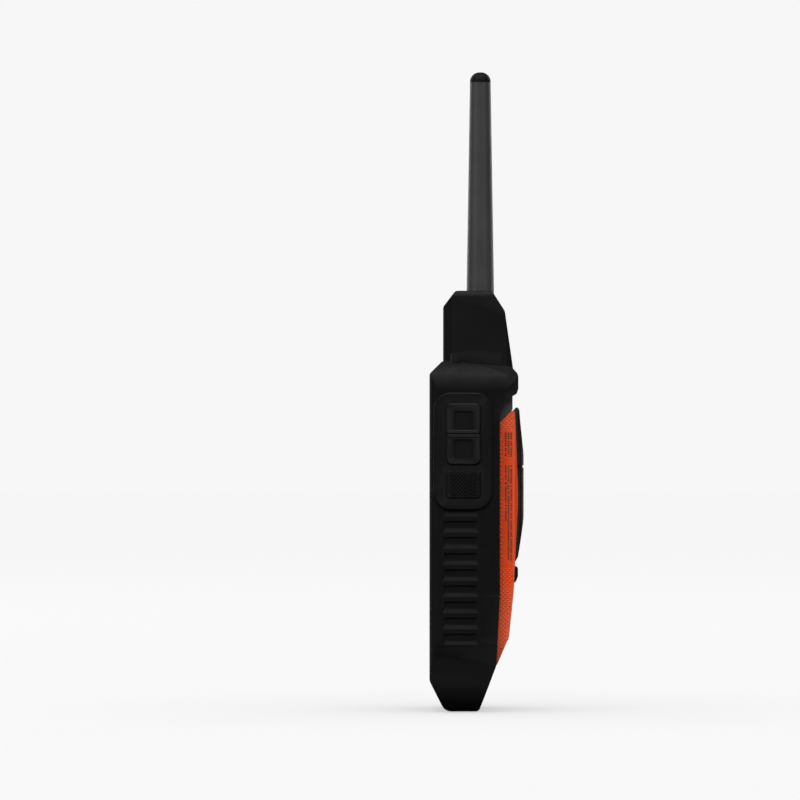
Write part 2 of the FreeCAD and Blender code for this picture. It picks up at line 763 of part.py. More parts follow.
def rear_housing():
    """Rear half: the plate behind the board, the foot, and the grey head over the pack."""
    shape = housing_form().common(half_space(split_plane + gasket_thick / 2, brow_back + 5))
    shape = shape.cut(pack_bay())
    hollow = housing_hollow().common(half_space(split_plane - 1, housing_back - housing_wall))
    head = block((-half_width, half_width), (split_plane - 1, brow_back), (head_floor(), shoulder_top))
    foot = block((-half_width, half_width), (split_plane - 1, brow_back), (0, pack_low - run_gap - 1.8))
    plate = block((-half_width, half_width), (split_plane - 1, bay_floor - 1.6), (5, shoulder_top - 8))
    shape = shape.cut(hollow.common(head)).cut(hollow.common(foot)).cut(hollow.common(plate))
    for x, z in housing_screw_places():
        boss = rod("y", (x, z), 3.0, split_plane + gasket_thick / 2, bay_floor)
        shape = shape.fuse(boss)
    for x, z in housing_screw_places():
        shape = shape.cut(rod("y", (x, z), screw_radius + 0.2, split_plane - 1, bay_floor + 1))
        shape = shape.cut(rod("y", (x, z), screw_head_radius + 0.2, bay_floor - screw_head_thick - 0.1,
                              brow_back))
    shape = shape.cut(rod("y", (0, latch_height), cam_radius + run_gap, split_plane - 1, bay_floor + 1))
    for x in contact_places():
        shape = shape.cut(rod("y", (x, contact_height()), 0.9 + seat_gap, split_plane - 1, bay_floor + 1))
    for hole in side_openings()[-2:]:
        shape = shape.cut(hole)
    return shape


def head_floor():
    """Z of the floor inside the rear housing's head."""
    return pack_slant_low + 9.5


def housing_gasket():
    """Flat seal between the two housings."""
    ring = housing_form().cut(body_form(core_side(), jacket_wall + skin_gap + housing_wall - 0.2))
    ring = ring.common(half_space(split_plane - gasket_thick / 2, split_plane + gasket_thick / 2))
    for hole in side_openings():
        ring = ring.cut(hole)
    return ring


def housing_screws():
    """Screws through the rear housing into the front one."""
    solids = []
    for x, z in housing_screw_places():
        head = rod("y", (x, z), screw_head_radius, bay_floor - screw_head_thick, bay_floor - 0.1)
        socket = rod("y", (x, z), 0.8, bay_floor - 0.7, bay_floor + 1)
        shank = rod("y", (x, z), screw_radius, front_face + 9, bay_floor - screw_head_thick)
        solids.append(head.fuse(shank).cut(socket))
    return Part.makeCompound(solids)


# ---- front pieces ----------------------------------------------------------------------------
def display_lens():
    """Flat glass lens in the bezel."""
    face = bezel_face() + 0.1
    lens = prism(lens_outline(0), "y", face, bezel_face() + lens_thick)
    rim = [e for e in lens.Edges if abs(e.BoundBox.YMin - face) < 1e-4 and abs(e.BoundBox.YMax - face) < 1e-4]
    return lens.makeChamfer(0.35, rim)


def display_gasket():
    """Seal between the lens and the panel."""
    low = bezel_face() + lens_thick
    outer = prism(lens_outline(-3.1), "y", low, low + 1.0)
    return outer.cut(prism(lens_outline(-4.4), "y", low - 1, low + 2))


def display_panel():
    """Colour display behind the lens."""
    low = bezel_face() + lens_thick + 1.0
    return prism(lens_outline(-3.1), "y", low, low + 2.6)


def chassis_plate():
    """Metal plate that backs the display and carries the board."""
    low = bezel_face() + lens_thick + 1.0 + 2.6 + 0.2
    outline = rectangle(-chassis_half, chassis_half, key_row + 9.0, shoulder_top - 11.0, 2)
    plate = prism(outline, "y", low, low + chassis_thick)
    for x, z in housing_screw_places():
        plate = plate.cut(rod("y", (x, z), 3.3, low - 1, low + 5))
    return plate.cut(block((switch_face() - 3.0, half_width), (-20, 0), (ptt_low - 3, volume_high)))


def front_key(index):
    """Front key with a dished cap and a stem."""
    face = bezel_face() - 0.7
    back = front_face + jacket_wall + skin_gap + housing_wall + 0.4
    cap = prism(key_outline(index, 0), "y", face, back)
    rim = [e for e in cap.Edges if abs(e.BoundBox.YMin - face) < 1e-4 and abs(e.BoundBox.YMax - face) < 1e-4]
    cap = cap.makeFillet(0.5, rim)
    x = (index - 1) * key_pitch
    stem = rod("y", (x, key_row), 1.4, back - 0.5, board_front() - 0.8 - key_travel - 0.1)
    return cap.fuse(stem)


def speaker_mesh():
    """Perforated speaker grille."""
    face = bezel_face() + 0.5
    plate = prism(rectangle(-grille_width / 2 + seat_gap, grille_width / 2 - seat_gap,
                            grille_middle - grille_height / 2 + seat_gap,
                            grille_middle + grille_height / 2 - seat_gap, 2.9), "y", face, face + 0.8)
    holes = []
    pitch = 2.2
    for row in range(-1, 2):
        for column in range(-5, 6):
            x = (column + (0.5 if row % 2 else 0)) * pitch
            if abs(x) > grille_width / 2 - 2:
                continue
            holes.append(rod("y", (x, grille_middle + row * pitch), 0.65, face - 1, face + 2))
    return plate.cut(Part.makeCompound(holes))


def speaker():
    """Loudspeaker: basket, cone recess and magnet."""
    low = front_face + jacket_wall + skin_gap + housing_wall + 0.6
    basket = rod("y", (0, grille_middle - 1), 11.0, low, low + 2.6)
    basket = basket.cut(rod("y", (0, grille_middle - 1), 9.6, low - 1, low + 0.9))
    return basket.fuse(rod("y", (0, grille_middle - 1), 6.5, low + 2.6, board_front() - 0.4))


def microphone():
    """Microphone capsule behind its small hole."""
    low = front_face + jacket_wall + skin_gap + housing_wall + 0.1
    return rod("y", (19.0, grille_middle + 8.5), 2.0, low, low + 2.2)


def board_front():
    """Y of the main board's front face."""
    return split_plane - gasket_thick / 2 - 3.4


def main_board():
    """Main circuit board with notches round the screw bosses."""
    x = half_width - jacket_wall - housing_wall - 4.2
    outline = rectangle(-x, x, 16.0, shoulder_top - 22.5, 3)
    board = prism(outline, "y", board_front(), board_front() + 1.2)
    for bx, bz in housing_screw_places():
        board = board.cut(rod("y", (bx, bz), 3.4, board_front() - 1, board_front() + 3))
    board = board.cut(block((switch_face() - 3.0, half_width), (-20, 0), (ptt_low - 2, volume_high + 2)))
    middle = (flap_low + flap_high) / 2
    socket_end = -half_width + jacket_wall + skin_gap + 7.7
    return board.cut(block((-half_width, socket_end), (-20, 0), (middle - 4.8, middle + 4.8)))


def board_chips():
    """Processor, memory, power chips and key switches on the board's front."""
    face = board_front()
    spots = [(-8, 92, 12, 12, 1.4), (9, 96, 9, 11, 1.2), (-10, 112, 8, 6, 1.0), (8, 72, 10, 8, 1.6),
             (-8, 68, 6, 6, 1.2)]
    solids = [block((x - w / 2, x + w / 2), (face - t, face), (z - h / 2, z + h / 2))
              for x, z, w, h, t in spots]
    for index in range(3):
        solids.append(rod("y", ((index - 1) * key_pitch, key_row), 2.2, face - 0.8, face))
    return Part.makeCompound(solids)


def rf_shield():
    """Pressed screening can on the back of the board."""
    low = board_front() + 1.2
    outline = rectangle(-17, 17, 60, 112, 1.5)
    can = prism(outline, "y", low, low + 2.4)
    return can.cut(prism(inset(outline, 0.3), "y", low - 1, low + 2.1))


def gps_antenna():
    """Ceramic satellite aerial in the head."""
    floor = head_floor()
    patch = prism(rectangle(-8, 6, 0.6, 12.4, 1), "z", floor, floor + 4)
    return patch.cut(rod("z", (-1, 7), 1.2, floor + 3.7, floor + 5))


# ---- antenna -----------------------------------------------------------------------------------
def antenna_radius_at(z):
    """Outer radius of the tapered rod."""
    share = (z - shroud_top) / (overall_height - shroud_top)
    return antenna_root_radius + (antenna_tip_radius - antenna_root_radius) * share


def antenna_sheath():
    """Tapered rubber rod with the boot that sits inside the shroud."""
    top = overall_height - cap_height
    centre = V(antenna_x, antenna_y, 0)
    boot_top = boot_ceiling() - 0.1
    boot = rod("z", (antenna_x, antenna_y), antenna_boot_radius, antenna_boot_low, boot_top)
    neck = rod("z", (antenna_x, antenna_y), antenna_root_radius, boot_top, shroud_top)
    taper = Part.makeCone(antenna_root_radius, antenna_radius_at(top), top - shroud_top,
                          centre + V(0, 0, shroud_top))
    shape = boot.fuse(neck).fuse(taper)
    return shape.cut(rod("z", (antenna_x, antenna_y), core_radius, antenna_boot_low - 1, top - 6))


def antenna_cap():
    """Domed end cap of the antenna."""
    low = overall_height - cap_height
    radius = antenna_radius_at(low)
    rise = overall_height - low
    shape = rod("z", (antenna_x, antenna_y), radius, low, overall_height)
    rim = [e for e in shape.Edges if abs(e.BoundBox.ZMin - overall_height) < 1e-4]
    return shape.makeFillet(min(rise, radius) - 0.3, rim)


def antenna_core():
    """Radiating rod inside the sheath."""
    top = overall_height - cap_height - 6.5
    return rod("z", (antenna_x, antenna_y), core_radius, antenna_boot_low, top)


def antenna_connector():
    """Metal connector under the boot, with its threaded stub."""
    nut = rod("z", (antenna_x, antenna_y), 5.0, antenna_boot_low - 3.0, antenna_boot_low)
    return nut.fuse(rod("z", (antenna_x, antenna_y), 2.6, antenna_boot_low - 8, antenna_boot_low - 3))


def socket_low():
    """Z of the antenna socket's lower end, inside the head."""
    return shoulder_top - 10.0


def antenna_socket():
    """Socket in the top of the rear housing that takes the antenna."""
    top = antenna_boot_low - 3.0
    shape = rod("z", (antenna_x, antenna_y), 4.0, socket_low(), top)
    return shape.cut(rod("z", (antenna_x, antenna_y), 2.6 + seat_gap, top - 5.5, top + 1))


def feed_cable():
    """Short coaxial lead from the antenna socket down to the board."""
    radius = 0.7
    start = V(antenna_x, antenna_y, socket_low())
    low = start + V(0, 0, -2.0)
    turn = 1.8
    end_y = board_front() + 1.2
    corner = low + V(0, 0, -turn)
    flat = corner + V(0, -turn, 0)
    eighth = math.sqrt(0.5) * turn
    arc = Part.Arc(low, flat + V(0, eighth, turn - eighth), flat)
    path = Part.Wire([Part.LineSegment(start, low).toShape(), arc.toShape(),
                      Part.LineSegment(flat, V(antenna_x, end_y, corner.z)).toShape()])
    ring = Part.Wire([Part.makeCircle(radius, start, V(0, 0, 1))])
    return path.makePipeShell([ring], True, True)


# ---- battery pack --------------------------------------------------------------------------------
def latch_pocket():
    """Round pocket in the pack for the latch."""
    radius = latch_radius + run_gap + 0.2
    return rod("y", (0, latch_height), radius, latch_floor, pack_back + 5)


def spine_form():
    """Clip spine: an arched rail along the back of the pack."""
    inner = 14.2
    peak = spine_back
    outline = [(inner, spine_low + 1.0, 0), (16.0, spine_low, 0.4), (17.1, spine_low + 2.0, 1.5),
               (18.2, spine_low + 9.0, 14), (peak, spine_low + 17.5, 30), (peak, spine_high - 19.5, 30),
               (18.1, spine_high - 7.0, 14), (17.6, spine_high - 1.0, 1.2), (16.6, spine_high, 0.5),
               (inner, spine_high - 2.5, 0)]
    side = prism(outline, "x", -spine_half, spine_half)
    face = prism(rectangle(-spine_half, spine_half, spine_low - 3, spine_high, 3.5), "y", inner - 1, peak + 1)
    plan = prism([(-spine_half, inner - 1, 0), (spine_half, inner - 1, 0), (spine_half, peak - 1.0, 1.2),
                  (spine_half - 2.2, peak, 1.0), (2.2 - spine_half, peak, 1.0),
                  (-spine_half, peak - 1.0, 1.2)], "z", spine_low - 5, spine_high + 5)
    return side.common(face).common(plan)


def spine_rail():
    """Rail that the clip spine sits on, following the back of the pack."""
    rail = spine_form().common(pack_form(-rail_rise)).cut(pack_form(spine_seat))
    notch = spine_high - 24.7
    for x in (-spine_half, spine_half):
        rail = rail.cut(block((x - 1.0, x + 1.0), (pack_back - 0.1, pack_back + 3),
                              (notch - 0.7, notch + 0.7)))
    for z in spine_screw_heights():
        rail = rail.cut(rod("y", (0, z), screw_radius, 0, spine_back))
    return rail


def clip_spine():
    """Clip spine with its detent notch, on top of the rail."""
    narrow = block((cap_inset - spine_half, spine_half - cap_inset), (0, spine_back + 5), (0, spine_high + 5))
    shape = spine_form().common(narrow).cut(pack_form(-rail_rise))
    notch = spine_high - 24.7
    shape = shape.cut(block((-spine_half - 1, spine_half + 1), (spine_back - 0.45, spine_back + 1),
                            (notch - 0.5, notch + 0.5)))
    for z in spine_screw_heights():
        shape = shape.cut(rod("y", (0, z), screw_head_radius + 0.15, spine_back - 1.9, spine_back + 1))
        shape = shape.cut(rod("y", (0, z), screw_radius, 0, spine_back))
    return shape


def spine_pocket():
    """Shallow pocket in the shell that locates the spine."""
    return spine_form().cut(pack_form(spine_seat))


def spine_screw_heights():
    """Heights of the screws that hold the spine."""
    return (spine_low + 12.0, spine_high - 12.0)


def spine_screws():
    """Screws that hold the spine on the shell."""
    solids = []
    for z in spine_screw_heights():
        head = rod("y", (0, z), screw_head_radius, spine_back - 1.9, spine_back - 1.0)
        socket = rod("y", (0, z), 0.8, spine_back - 1.5, spine_back)
        shank = rod("y", (0, z), screw_radius, pack_back - pack_wall - 1.6, spine_back - 1.9)
        solids.append(head.fuse(shank).cut(socket))
    return Part.makeCompound(solids)


def latch_sleeve(y_low, y_high):
    """Clearance bore for the latch shaft."""
    return rod("y", (0, latch_height), shaft_radius + pin_gap, y_low, y_high)


def latch_tower():
    """Post inside the pack that the latch shaft runs through."""
    return rod("y", (0, latch_height), latch_radius + run_gap + 0.2 + pack_wall, tray_back, pack_back)


def battery_shell():
    """Orange outer shell of the pack."""
    outer = pack_form(0)
    inner = pack_form(pack_wall)
    shape = outer.cut(inner).common(half_space(tray_back, pack_back + 2))
    shape = shape.cut(latch_tower())
    for z in spine_screw_heights():
        shape = shape.fuse(rod("y", (0, z), 2.4, pack_back - pack_wall - 3.5, pack_back).common(outer))
    shape = shape.cut(spine_pocket())
    for z in spine_screw_heights():
        shape = shape.cut(rod("y", (0, z), screw_radius, pack_back - pack_wall - 1.6, 20))
    return shape.cut(label_pocket())


def latch_cup():
    """Cup let into the shell, in which the latch turns."""
    cup = latch_tower().common(pack_form(0))
    return cup.cut(latch_pocket()).cut(latch_sleeve(0, 20)).cut(spine_pocket())


def battery_tray():
    """Inner half of the pack: a tray with the cell bays and the shaft's bush."""
    outer = pack_form(0)
    inner = pack_form(pack_wall)
    shape = outer.cut(inner).common(half_space(pack_front - 1, tray_back))
    shape = shape.fuse(rod("y", (0, latch_height), 5.0, pack_front, tray_back))
    shape = shape.cut(latch_sleeve(-5, 10))
    shape = shape.cut(rod("y", (0, latch_height), cam_radius + run_gap, -5, pack_front + 0.4))
    for x in contact_places():
        shape = shape.cut(block((x - 1.6, x + 1.6), (-5, pack_front + 0.5),
                                (contact_height() - 2.6, contact_height() + 2.6)))
    seal = seal_outline()
    groove_ring = prism(seal, "y", -5, pack_front + 0.6).cut(prism(inset(seal, 1.2), "y", -6, pack_front + 1))
    return shape.cut(groove_ring)


def seal_outline():
    """Outline (X, Z) of the seal round the contacts."""
    return rectangle(-12.5, 12.5, contact_height() - 5.0, contact_height() + 5.0, 2.5)


def battery_seal():
    """Seal round the contacts, in a groove of the tray."""
    seal = seal_outline()
    ring = prism(seal, "y", pack_front, pack_front + 0.6)
    return ring.cut(prism(inset(seal, 1.2), "y", -1, pack_front + 1))


def contact_places():
    """X of the power contacts."""
    return [(i - 1.5) * 5.0 for i in range(4)]


def contact_height():
    """Z of the power contacts."""
    return brow_root - 17.0


def battery_contacts():
    """Flat contacts in the pack's front face."""
    solids = [block((x - 1.55, x + 1.55), (pack_front + 0.1, pack_front + 0.5),
                    (contact_height() - 2.55, contact_height() + 2.55)) for x in contact_places()]
    return Part.makeCompound(solids)


def contact_springs():
    """Sprung pins in the rear housing that meet the pack's contacts."""
    solids = []
    for x in contact_places():
        barrel = rod("y", (x, contact_height()), 0.9, -1.6, bay_floor)
        tip = rod("y", (x, contact_height()), 0.5, bay_floor, pack_front - 0.1)
        solids.append(barrel.fuse(tip))
    return Part.makeCompound(solids)


def battery_cells():
    """Flat cells side by side, above the latch."""
    low = latch_height + latch_radius + 4.0
    high = pack_slant_low - 3.0
    room = half_width - jacket_wall - run_gap - pack_wall - 0.6
    width = (2 * room - cell_gap * (cell_count - 1)) / cell_count
    front = pack_front + pack_wall + 0.4
    solids = []
    for i in range(cell_count):
        left = -room + i * (width + cell_gap)
        solids.append(prism(rectangle(left, left + width, front, front + cell_thick, 1.6), "z", low, high))
    return Part.makeCompound(solids)


def label_pocket():
    """Shallow field for the label on the pack's +X side."""
    side = half_width - jacket_wall - run_gap
    return block((side - 0.15, side + 1), (back_edge + 1.0, pack_back - 2.3), (label_low, label_high))


def battery_label():
    """Thin plain strip set in the shell's side."""
    side = half_width - jacket_wall - run_gap
    return block((side - 0.15, side - 0.02), (back_edge + 1.05, pack_back - 2.35),
                 (label_low + seat_gap, label_high - seat_gap))


# ---- latch ---------------------------------------------------------------------------------------
def bail_axis():
    """Hinge line (Y, Z) of the D-ring."""
    return latch_floor + latch_flange + bail_wire + 0.5, latch_height + latch_radius - bail_hinge_drop


def latch_knob():
    """Turning latch: a round flange with a finger boss and the D-ring's knuckle."""
    axis_y, axis_z = bail_axis()
    low = latch_floor + run_gap
    flange = rod("y", (0, latch_height), latch_radius, low, latch_floor + latch_flange)
    knuckle = prism([(low, axis_z - 4.2, 0), (knuckle_back - 1.0, axis_z - 4.2, 1.2),
                     (knuckle_back, axis_z - 1.5, 1.2), (knuckle_back, axis_z + 2.4, 1.2),
                     (low, axis_z + 3.0, 0)], "x", -knuckle_half, knuckle_half)
    keep = rod("y", (0, latch_height), latch_radius, low, knuckle_back + 1)
    boss = rod("y", (0, latch_height - 1.5), 3.4, low, latch_floor + latch_flange + 1.2)
    shape = flange.fuse(knuckle.common(keep)).fuse(boss)
    shape = shape.cut(rod("x", (axis_y, axis_z), bail_pin_radius() + pin_gap, -20, 20))
    return shape.cut(rod("y", (0, latch_height), shaft_radius, 0, latch_floor + latch_flange - 0.2))


def bail_pin_radius():
    """Radius of the D-ring's pin."""
    return 0.55


def bail_reach():
    """Half width of the D-ring."""
    return 6.9


def bail_pin():
    """Pin through the knuckle, pressed into the D-ring's eyes."""
    axis_y, axis_z = bail_axis()
    return rod("x", (axis_y, axis_z), bail_pin_radius(), 0.2 - bail_reach(), bail_reach() - 0.2)


def latch_bail():
    """D-ring, folded down on the latch."""
    axis_y, axis_z = bail_axis()
    wide = bail_reach()
    low = latch_height - latch_radius + 0.6
    outline = [(-wide, axis_z + 0.9, 0.6), (-wide, low + 2.0, 4.2), (-wide + 4, low, 4.5),
               (wide - 4, low, 4.5), (wide, low + 2.0, 4.2), (wide, axis_z + 0.9, 0.6)]
    thick = 2 * bail_wire
    leg = wide - knuckle_half - run_gap
    hole = [(-wide + leg, axis_z + 3, 0), (-wide + leg, low + 3.6, 2.2), (-wide + 5.4, low + 1.9, 2.4),
            (wide - 5.4, low + 1.9, 2.4), (wide - leg, low + 3.6, 2.2), (wide - leg, axis_z + 3, 0)]
    ring = prism(outline, "y", axis_y - bail_wire, axis_y - bail_wire + thick)
    ring = ring.cut(prism(hole, "y", axis_y - 5, axis_y + 5))
    return ring.cut(rod("x", (axis_y, axis_z), bail_pin_radius(), -20, 20))


def latch_shaft():
    """Shaft from the knob through the pack to the cam."""
    return rod("y", (0, latch_height), shaft_radius, pack_front - 1.6, latch_floor + latch_flange - 0.2)


def latch_cam():
    """Cam on the inner end of the shaft."""
    blade = prism(rectangle(-cam_radius, cam_radius, latch_height - 2.6, latch_height + 2.6, 0.8), "y",
                  pack_front - 2.4, pack_front - 0.3)
    round_end = rod("y", (0, latch_height), cam_radius, pack_front - 2.4, pack_front - 0.3)
    return blade.common(round_end).cut(rod("y", (0, latch_height), shaft_radius, pack_front - 1.6, 5))


def latch_clip():
    """Retaining ring on the shaft, against the tray."""
    y = pack_front - 0.2
    return tube("y", (0, latch_height), 3.2, shaft_radius, y, y + 0.5)


def latch_seal():
    """Seal ring under the knob's flange."""
    return tube("y", (0, latch_height), shaft_radius + 1.5, shaft_radius + pin_gap + 0.1,
                latch_floor, latch_floor + run_gap - 0.02)


# ---- build -----------------------------------------------------------------------------------------
def main():
    os.makedirs("parts", exist_ok=True)
    save("rubber_jacket", rubber_jacket())
    save("ptt_pad", ptt_pad())
    save("volume_up_pad", volume_pad("volume_up"))
    save("volume_down_pad", volume_pad("volume_down"))
    save("ptt_key", side_key("ptt", ptt_travel))
    save("volume_up_key", side_key("volume_up", volume_travel))
    save("volume_down_key", side_key("volume_down", volume_travel))
    save("side_switch_board", side_switch_board())
    save("side_switches", side_switches())
    save("side_port_flap", side_port_flap())
    save("usb_socket", usb_socket())
    save("top_jack_cover", top_jack_cover())
    save("headset_jack", headset_jack())
    save("front_housing", front_housing())
    save("rear_housing", rear_housing())
    save("housing_gasket", housing_gasket())
    save("housing_screws", housing_screws())
    save("display_lens", display_lens())
    save("display_gasket", display_gasket())
    save("display_panel", display_panel())
    save("chassis_plate", chassis_plate())
    for index, name in enumerate(("front_key_left", "front_key_middle", "front_key_right")):
        save(name, front_key(index))
    save("speaker_mesh", speaker_mesh())
    save("speaker", speaker())
    save("microphone", microphone())
    save("main_board", main_board())
    save("board_chips", board_chips())
    save("rf_shield", rf_shield())
    save("gps_antenna", gps_antenna())
    save("antenna_sheath", antenna_sheath())
    save("antenna_cap", antenna_cap())
    save("antenna_core", antenna_core())
    save("antenna_connector", antenna_connector())
    save("antenna_socket", antenna_socket())
    save("feed_cable", feed_cable())
    save("battery_shell", battery_shell())
    save("battery_tray", battery_tray())
    save("battery_seal", battery_seal())
    save("battery_contacts", battery_contacts())
    save("contact_springs", contact_springs())
    save("battery_cells", battery_cells())
    save("battery_label", battery_label())
    save("latch_cup", latch_cup())
    save("spine_rail", spine_rail())
    save("clip_spine", clip_spine())
    save("spine_screws", spine_screws())
    save("latch_knob", latch_knob())
    save("latch_bail", latch_bail())
    save("bail_pin", bail_pin())
    save("latch_shaft", latch_shaft())
    save("latch_cam", latch_cam())
    save("latch_clip", latch_clip())
    save("latch_seal", latch_seal())


main()
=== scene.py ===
import math
import random

import bpy
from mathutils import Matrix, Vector
from mathutils.bvhtree import BVHTree


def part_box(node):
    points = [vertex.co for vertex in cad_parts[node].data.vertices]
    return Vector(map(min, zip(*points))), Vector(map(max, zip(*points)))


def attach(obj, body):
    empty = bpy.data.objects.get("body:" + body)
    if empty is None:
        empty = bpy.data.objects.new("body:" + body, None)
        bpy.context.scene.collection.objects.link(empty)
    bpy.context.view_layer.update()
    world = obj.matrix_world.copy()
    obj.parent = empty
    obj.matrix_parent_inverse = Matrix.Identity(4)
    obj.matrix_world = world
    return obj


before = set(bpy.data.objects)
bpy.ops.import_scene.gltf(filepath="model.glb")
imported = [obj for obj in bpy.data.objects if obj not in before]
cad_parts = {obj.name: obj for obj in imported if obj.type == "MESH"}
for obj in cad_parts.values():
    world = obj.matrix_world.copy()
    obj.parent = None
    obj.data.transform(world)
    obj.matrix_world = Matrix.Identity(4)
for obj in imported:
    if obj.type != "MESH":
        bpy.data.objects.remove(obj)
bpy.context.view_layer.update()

# The looks of a handheld two way radio. Metres, +Z up, the front faces -Y and
# the push-to-talk side is +X.

MM = 0.001

# ---- studio ------------------------------------------------------------------------
PICTURE_SIDE = 331.8 * MM      # what the square picture spans at the object
CAMERA_DISTANCE = 2.6
SENSOR = 36.0
PICTURE_MIDDLE = 128.35 * MM   # height of the picture's middle
SIDE_SHIFT = -0.0959           # the object stands right of the middle
CLIP_NEAR = 0.05
CLIP_FAR = 50.0

PALE = 0.93                    # backdrop, linear
ROOM_LIGHT = 0.22              # strength of the surroundings as a light
FLOOR_REACH = 6.0              # from the middle to each edge of the floor
FLOOR_TONE = 0.07              # share of the light that the floor gives back
FLOOR_GLOW = 0.855             # the floor's own brightness, seen by the camera alone
SHADOW_FLOOR = 0.55            # share of the glow left right under the object, where the painted shadow is darkest
SHADOW_REACH = 180 * MM        # how far from the object its painted soft shadow fades out
SHADOW_RAYS = 8

LIGHT_AIM = (0.0, 0.0, 0.12)   # the softboxes point at the middle of the radio
SUN_TOWARDS = (0.5, -0.1, 1.0)
SUN_SPREAD = math.radians(70)
SUN_STRENGTH = 2.6
SOFTBOXES = (                  # name, place, (width, height), watts
    ("overhead", (0.25, -0.15, 1.7), (1.2, 1.2), 4.0),
    ("left_box", (1.2, -1.6, 0.75), (0.4, 1.2), 6.0),
    ("right_box", (1.5, 1.3, 0.75), (0.4, 1.2), 4.0),
    ("behind_left", (-1.5, -1.3, 0.75), (0.5, 1.2), 9.0),
    ("behind_right", (-1.5, 1.3, 0.75), (0.5, 1.2), 9.0),
)


def add_camera():
    """Level camera on the push-to-talk side, with a long lens."""
    data = bpy.data.cameras.new("camera")
    data.sensor_width = SENSOR
    data.lens = SENSOR * CAMERA_DISTANCE / PICTURE_SIDE
    data.shift_x = SIDE_SHIFT
    data.clip_start = CLIP_NEAR
    data.clip_end = CLIP_FAR
    camera = bpy.data.objects.new("camera", data)
    camera.location = (CAMERA_DISTANCE, 0.0, PICTURE_MIDDLE)
    camera.rotation_euler = (math.pi / 2, 0.0, math.pi / 2)
    bpy.context.scene.collection.objects.link(camera)
    bpy.context.scene.camera = camera


def add_light(name, place, size, power):
    """Rectangular softbox aimed at the radio."""
    data = bpy.data.lights.new(name, "AREA")
    data.shape = "RECTANGLE"
    data.size, data.size_y = size
    data.energy = power
    light = bpy.data.objects.new(name, data)
    light.location = place
    aim = Vector(LIGHT_AIM) - Vector(place)
    light.rotation_euler = aim.to_track_quat("-Z", "Y").to_euler()
    bpy.context.scene.collection.objects.link(light)


def add_sun():
    """Distant light, which lights the whole floor evenly."""
    data = bpy.data.lights.new("sun", "SUN")
    data.angle = SUN_SPREAD
    data.energy = SUN_STRENGTH
    sun = bpy.data.objects.new("sun", data)
    sun.rotation_euler = Vector(SUN_TOWARDS).to_track_quat("Z", "Y").to_euler()
    bpy.context.scene.collection.objects.link(sun)


def floor_material():
    """Pale surface whose own glow joins the backdrop, with a painted shadow: the glow dims near the
    object.
    """
    material = bpy.data.materials.new("floor")
    material.use_nodes = True
    nodes, links = material.node_tree.nodes, material.node_tree.links
    nodes.clear()
    diffuse = nodes.new("ShaderNodeBsdfDiffuse")
    diffuse.inputs["Color"].default_value = (FLOOR_TONE, FLOOR_TONE, FLOOR_TONE, 1.0)
    glow = nodes.new("ShaderNodeEmission")
    path = nodes.new("ShaderNodeLightPath")
    level = nodes.new("ShaderNodeMath")
    level.operation = "MULTIPLY"
    level.inputs[1].default_value = FLOOR_GLOW
    links.new(path.outputs["Is Camera Ray"], level.inputs[0])
    # painted shadow: the glow is scaled down where ambient occlusion finds the object close by
    nearness = nodes.new("ShaderNodeAmbientOcclusion")
    nearness.samples = SHADOW_RAYS
    nearness.inputs["Distance"].default_value = SHADOW_REACH
    shaded = nodes.new("ShaderNodeMath")
    shaded.operation = "MULTIPLY"
    links.new(level.outputs[0], shaded.inputs[0])
    lifted = nodes.new("ShaderNodeMapRange")
    lifted.inputs["To Min"].default_value = SHADOW_FLOOR
    links.new(nearness.outputs["AO"], lifted.inputs["Value"])
    links.new(lifted.outputs["Result"], shaded.inputs[1])
    links.new(shaded.outputs[0], glow.inputs["Strength"])
    both = nodes.new("ShaderNodeAddShader")
    links.new(diffuse.outputs[0], both.inputs[0])
    links.new(glow.outputs[0], both.inputs[1])
    output = nodes.new("ShaderNodeOutputMaterial")
    links.new(both.outputs[0], output.inputs["Surface"])
    return material


def add_floor():
    """Plain pale floor."""
    mesh = bpy.data.meshes.new("floor")
    corners = ((-1, -1), (1, -1), (1, 1), (-1, 1))
    mesh.from_pydata([(x * FLOOR_REACH, y * FLOOR_REACH, 0) for x, y in corners], [], [(0, 1, 2, 3)])
    floor = bpy.data.objects.new("floor", mesh)
    bpy.context.scene.collection.objects.link(floor)
    mesh.materials.append(floor_material())


def add_world():
    """Even pale surroundings: bright behind the object, dim as a light."""
    world = bpy.data.worlds.new("studio")
    world.use_nodes = True
    nodes, links = world.node_tree.nodes, world.node_tree.links
    nodes.clear()
    seen = nodes.new("ShaderNodeBackground")
    seen.inputs["Color"].default_value = (PALE, PALE, PALE, 1.0)
    lit = nodes.new("ShaderNodeBackground")
    lit.inputs["Color"].default_value = (1.0, 1.0, 1.0, 1.0)
    lit.inputs["Strength"].default_value = ROOM_LIGHT
    path = nodes.new("ShaderNodeLightPath")
    pick = nodes.new("ShaderNodeMixShader")
    links.new(path.outputs["Is Camera Ray"], pick.inputs["Fac"])
    links.new(lit.outputs[0], pick.inputs[1])
    links.new(seen.outputs[0], pick.inputs[2])
    output = nodes.new("ShaderNodeOutputWorld")
    links.new(pick.outputs[0], output.inputs["Surface"])
    bpy.context.scene.world = world


def add_studio():
    """Camera, floor, surroundings and softboxes."""
    bpy.context.scene.view_settings.view_transform = "Standard"
    add_camera()
    add_floor()
    add_world()
    add_sun()
    for name, place, size, power in SOFTBOXES:
        add_light(name, place, size, power)


# ---- material helpers --------------------------------------------------------------
NOISE_ROUGHNESS = 0.55
COLOUR_STOPS = (0.35, 0.65)    # noise levels where a cloudy colour starts and ends
ROUGH_STOPS = (0.3, 0.7)       # the same for roughness
WEAR_STOPS = (0.53, 0.6)       # pointiness where edge wear starts and is full
MIX_COLOURS = (6, 7)           # the mix node's colour inputs
MIX_RESULT = 2                 # and its colour output


